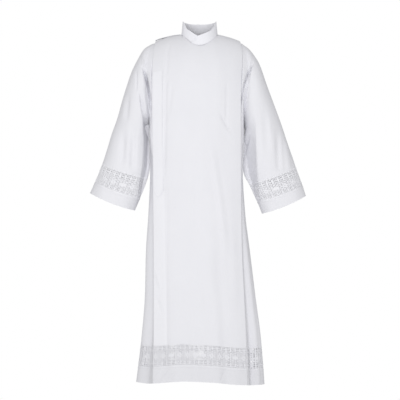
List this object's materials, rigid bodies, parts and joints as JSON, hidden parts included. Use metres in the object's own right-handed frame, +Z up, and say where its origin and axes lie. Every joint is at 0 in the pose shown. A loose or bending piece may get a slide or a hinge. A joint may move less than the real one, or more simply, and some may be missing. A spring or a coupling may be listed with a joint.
{
  "type": "worn alb",
  "caption": "Full-length white alb in its worn shape, hollow, with wide open sleeves, a crossed standing collar, pleated sides and lace insertions at hem and cuffs.",
  "frame": {"origin": "on the shoulder plane, midway between the two points where the shoulder ridges meet the collar", "axes": "+Z up, -Y the garment's front, +X the wearer's left"},
  "size_m": [0.9104, 0.3694, 1.527],
  "materials": {
    "cloth": "fine plain weave, matt with a faint sheen",
    "lace": "openwork lace, matt"
  },
  "bodies": {
    "root": {"front_panel": "cloth", "hem_lace_front": "lace", "hem_band_front": "cloth", "side_front_right": "cloth", "hem_lace_front_right": "lace", "hem_band_front_right": "cloth", "side_front_left": "cloth", "hem_lace_front_left": "lace", "hem_band_front_left": "cloth", "back_panel": "cloth", "hem_lace_back": "lace", "hem_band_back": "cloth", "side_back_right": "cloth", "hem_lace_back_right": "lace", "hem_band_back_right": "cloth", "side_back_left": "cloth", "hem_lace_back_left": "lace", "hem_band_back_left": "cloth", "sleeve_right": "cloth", "sleeve_lace_right": "lace", "cuff_right": "cloth", "sleeve_left": "cloth", "sleeve_lace_left": "lace", "cuff_left": "cloth", "collar": "cloth", "zip_placket": "cloth", "shoulder_flap": "cloth"}
  },
  "joints": []
}
